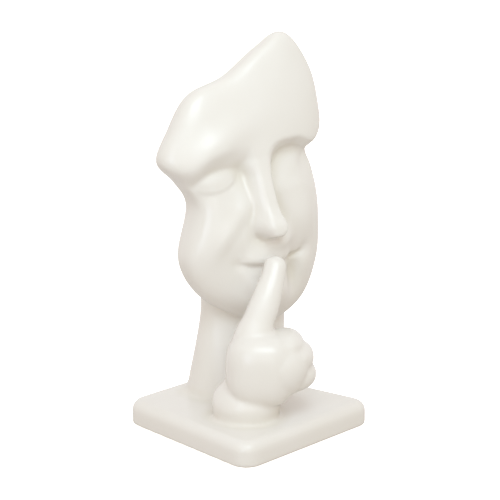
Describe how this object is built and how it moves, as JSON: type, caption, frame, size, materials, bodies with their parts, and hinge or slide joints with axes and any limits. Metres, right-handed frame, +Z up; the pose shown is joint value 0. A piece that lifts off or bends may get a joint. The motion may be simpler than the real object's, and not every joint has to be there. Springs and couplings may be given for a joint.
{
  "type": "face sculpture",
  "caption": "Glazed ceramic figure: a mask-like face with closed eyes and a swept, peaked brow on a neck, with a fist whose raised forefinger rests on its lips, on a square base.",
  "frame": {"origin": "centre of the base's underside, on the surface that the figure stands on", "axes": "+Z up, -Y toward the wide front side of the base, which the face looks over, +X toward the side of the peak"},
  "size_m": [0.1274, 0.118, 0.2475],
  "materials": {
    "white_glaze": "satin-gloss, slightly warm white glaze over cast ceramic"
  },
  "bodies": {
    "root": {"face_sculpture": "white_glaze"}
  },
  "joints": []
}
